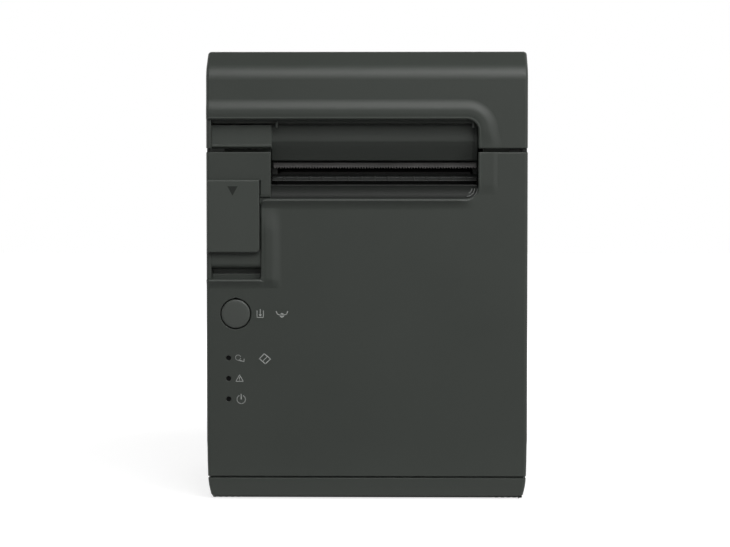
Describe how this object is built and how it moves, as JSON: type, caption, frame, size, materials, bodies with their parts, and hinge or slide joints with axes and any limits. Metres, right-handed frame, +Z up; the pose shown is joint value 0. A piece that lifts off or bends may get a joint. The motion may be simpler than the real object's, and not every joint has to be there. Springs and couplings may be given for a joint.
{
  "type": "receipt printer",
  "caption": "Upright dark grey thermal receipt printer: lift-up roll cover over a front paper slot with tear bar, push-down cover lever, feed button, status lights and rear sockets.",
  "frame": {"origin": "middle of the underside, on the surface the printer stands on", "axes": "front faces -Y, +X is to the right seen from the front, +Z is up"},
  "size_m": [0.14, 0.148, 0.196],
  "materials": {
    "case_plastic": "fine satin texture",
    "cover_plastic": "fine satin texture",
    "button_plastic": "satin",
    "dark_plastic": "satin",
    "slot_plastic": "satin",
    "light_plastic": "smoked, clear",
    "white_gear": "satin, moulded",
    "foot_rubber": "matt",
    "platen_rubber": "matt, ground",
    "frame_steel": "zinc-plated sheet",
    "blade_steel": "ground edge",
    "shaft_steel": "turned and plated",
    "spring_steel": "drawn wire",
    "screw_steel": "zinc-plated",
    "motor_steel": "plated can",
    "heatsink": "extruded, brushed",
    "head_ceramic": "glazed",
    "board": "coated circuit board",
    "socket_metal": "tin-plated",
    "socket_plastic": "moulded"
  },
  "bodies": {
    "case": {"main_case": "case_plastic", "base": "case_plastic", "feet": "foot_rubber", "base_screws": "screw_steel", "dip_cover": "case_plastic", "hinge_brackets": "dark_plastic", "hinge_pins": "shaft_steel", "roll_bay": "dark_plastic", "near_end_sensor": "socket_plastic", "left_frame": "frame_steel", "right_frame": "frame_steel", "spring_bar": "frame_steel", "exit_tray": "case_plastic", "lower_guide": "dark_plastic", "inner_guide": "frame_steel", "head_springs": "spring_steel", "feed_motor": "motor_steel", "gear_studs": "shaft_steel", "cutter_frame": "frame_steel", "cutter_motor": "motor_steel", "lever_guide": "case_plastic", "lever_spring": "spring_steel", "panel_board": "board", "status_lights": "light_plastic", "power_switch": "socket_plastic", "main_board": "board", "rear_panel": "case_plastic", "interface_plate": "socket_metal", "interface_screws": "screw_steel", "usb_socket": "socket_metal", "serial_socket": "socket_metal", "drawer_socket": "socket_plastic", "power_inlet": "socket_plastic", "cover_sensor": "socket_plastic"},
    "cover": {"cover_shell": "cover_plastic", "cover_frame": "dark_plastic", "exit_guide": "slot_plastic", "tear_bar": "blade_steel", "fixed_blade": "blade_steel", "platen_bushes": "shaft_steel"},
    "platen": {"platen_shaft": "shaft_steel", "platen_rubber": "platen_rubber", "platen_gear": "white_gear"},
    "head": {"thermal_head": "head_ceramic", "head_heatsink": "heatsink"},
    "motor_pinion": {"motor_pinion": "white_gear"},
    "low_idler": {"idler_low": "white_gear"},
    "high_idler": {"idler_high": "white_gear"},
    "cutter_pinion": {"cutter_pinion": "white_gear"},
    "cutter_gear": {"cutter_gear": "white_gear"},
    "blade": {"moving_blade": "blade_steel", "blade_carriage": "white_gear"},
    "lever": {"open_lever": "case_plastic"},
    "latch": {"latch_shaft": "shaft_steel", "latch_arm": "dark_plastic", "latch_hook_left": "frame_steel", "latch_hook_right": "frame_steel"},
    "button": {"feed_button": "button_plastic"},
    "rocker": {"power_rocker": "socket_plastic"},
    "guide": {"roll_guide": "dark_plastic"}
  },
  "joints": [
    {"name": "cover_hinge", "type": "hinge", "parent": "case", "child": "cover", "pos_m": [0, 0.067, 0.156], "axis": [-1, 0, 0], "range_deg": [0, 90]},
    {"name": "platen_spin", "type": "hinge", "parent": "cover", "child": "platen", "pos_m": [0, -0.036, 0.1521], "axis": [1, 0, 0], "continuous": true},
    {"name": "high_idler_spin", "type": "hinge", "parent": "case", "child": "high_idler", "pos_m": [-0.05, -0.03096, 0.13027], "axis": [1, 0, 0], "continuous": true},
    {"name": "low_idler_spin", "type": "hinge", "parent": "case", "child": "low_idler", "pos_m": [-0.05, -0.03766, 0.1064], "axis": [1, 0, 0], "continuous": true},
    {"name": "motor_spin", "type": "hinge", "parent": "case", "child": "motor_pinion", "pos_m": [-0.05, -0.038, 0.088], "axis": [1, 0, 0], "continuous": true},
    {"name": "head_pivot", "type": "hinge", "parent": "case", "child": "head", "pos_m": [0, -0.0272, 0.137], "axis": [1, 0, 0], "range_deg": [0, 3], "stiffness_Nm_per_rad": 2, "springref_deg": -5.16, "deforming": ["head_springs"]},
    {"name": "blade_slide", "type": "slide", "parent": "case", "child": "blade", "axis": [0, 0, 1], "range_m": [0, 0.007]},
    {"name": "cutter_gear_turn", "type": "hinge", "parent": "case", "child": "cutter_gear", "pos_m": [0, -0.062, 0.112], "axis": [0, 1, 0], "range_deg": [-5, 80]},
    {"name": "cutter_pinion_turn", "type": "hinge", "parent": "case", "child": "cutter_pinion", "pos_m": [0.01801, -0.062, 0.1016], "axis": [0, 1, 0], "range_deg": [-250, 10]},
    {"name": "lever_slide", "type": "slide", "parent": "case", "child": "lever", "axis": [0, 0, -1], "range_m": [0, 0.005], "stiffness_N_per_m": 400, "springref_m": -0.006, "deforming": ["lever_spring"]},
    {"name": "latch_turn", "type": "hinge", "parent": "case", "child": "latch", "pos_m": [0, -0.0532, 0.126], "axis": [1, 0, 0], "range_deg": [-1, 28]},
    {"name": "feed_button_press", "type": "slide", "parent": "case", "child": "button", "axis": [0, 1, 0], "range_m": [0, 0.001], "stiffness_N_per_m": 900, "springref_m": -0.0006},
    {"name": "power_rock", "type": "hinge", "parent": "case", "child": "rocker", "pos_m": [-0.064, -0.041, 0.031], "axis": [0, 1, 0], "range_deg": [-20, 0]},
    {"name": "roll_guide_slide", "type": "slide", "parent": "case", "child": "guide", "axis": [-1, 0, 0], "range_m": [0, 0.04]}
  ],
  "couplings": [
    {"joint": "high_idler_spin", "follows": "platen_spin", "ratio": -0.75},
    {"joint": "low_idler_spin", "follows": "platen_spin", "ratio": 0.8},
    {"joint": "motor_spin", "follows": "platen_spin", "ratio": -1.5},
    {"joint": "cutter_gear_turn", "follows": "blade_slide", "rad_per_m": 178.57},
    {"joint": "cutter_pinion_turn", "follows": "blade_slide", "rad_per_m": -595.24},
    {"joint": "latch_turn", "follows": "lever_slide", "rad_per_m": 92}
  ]
}
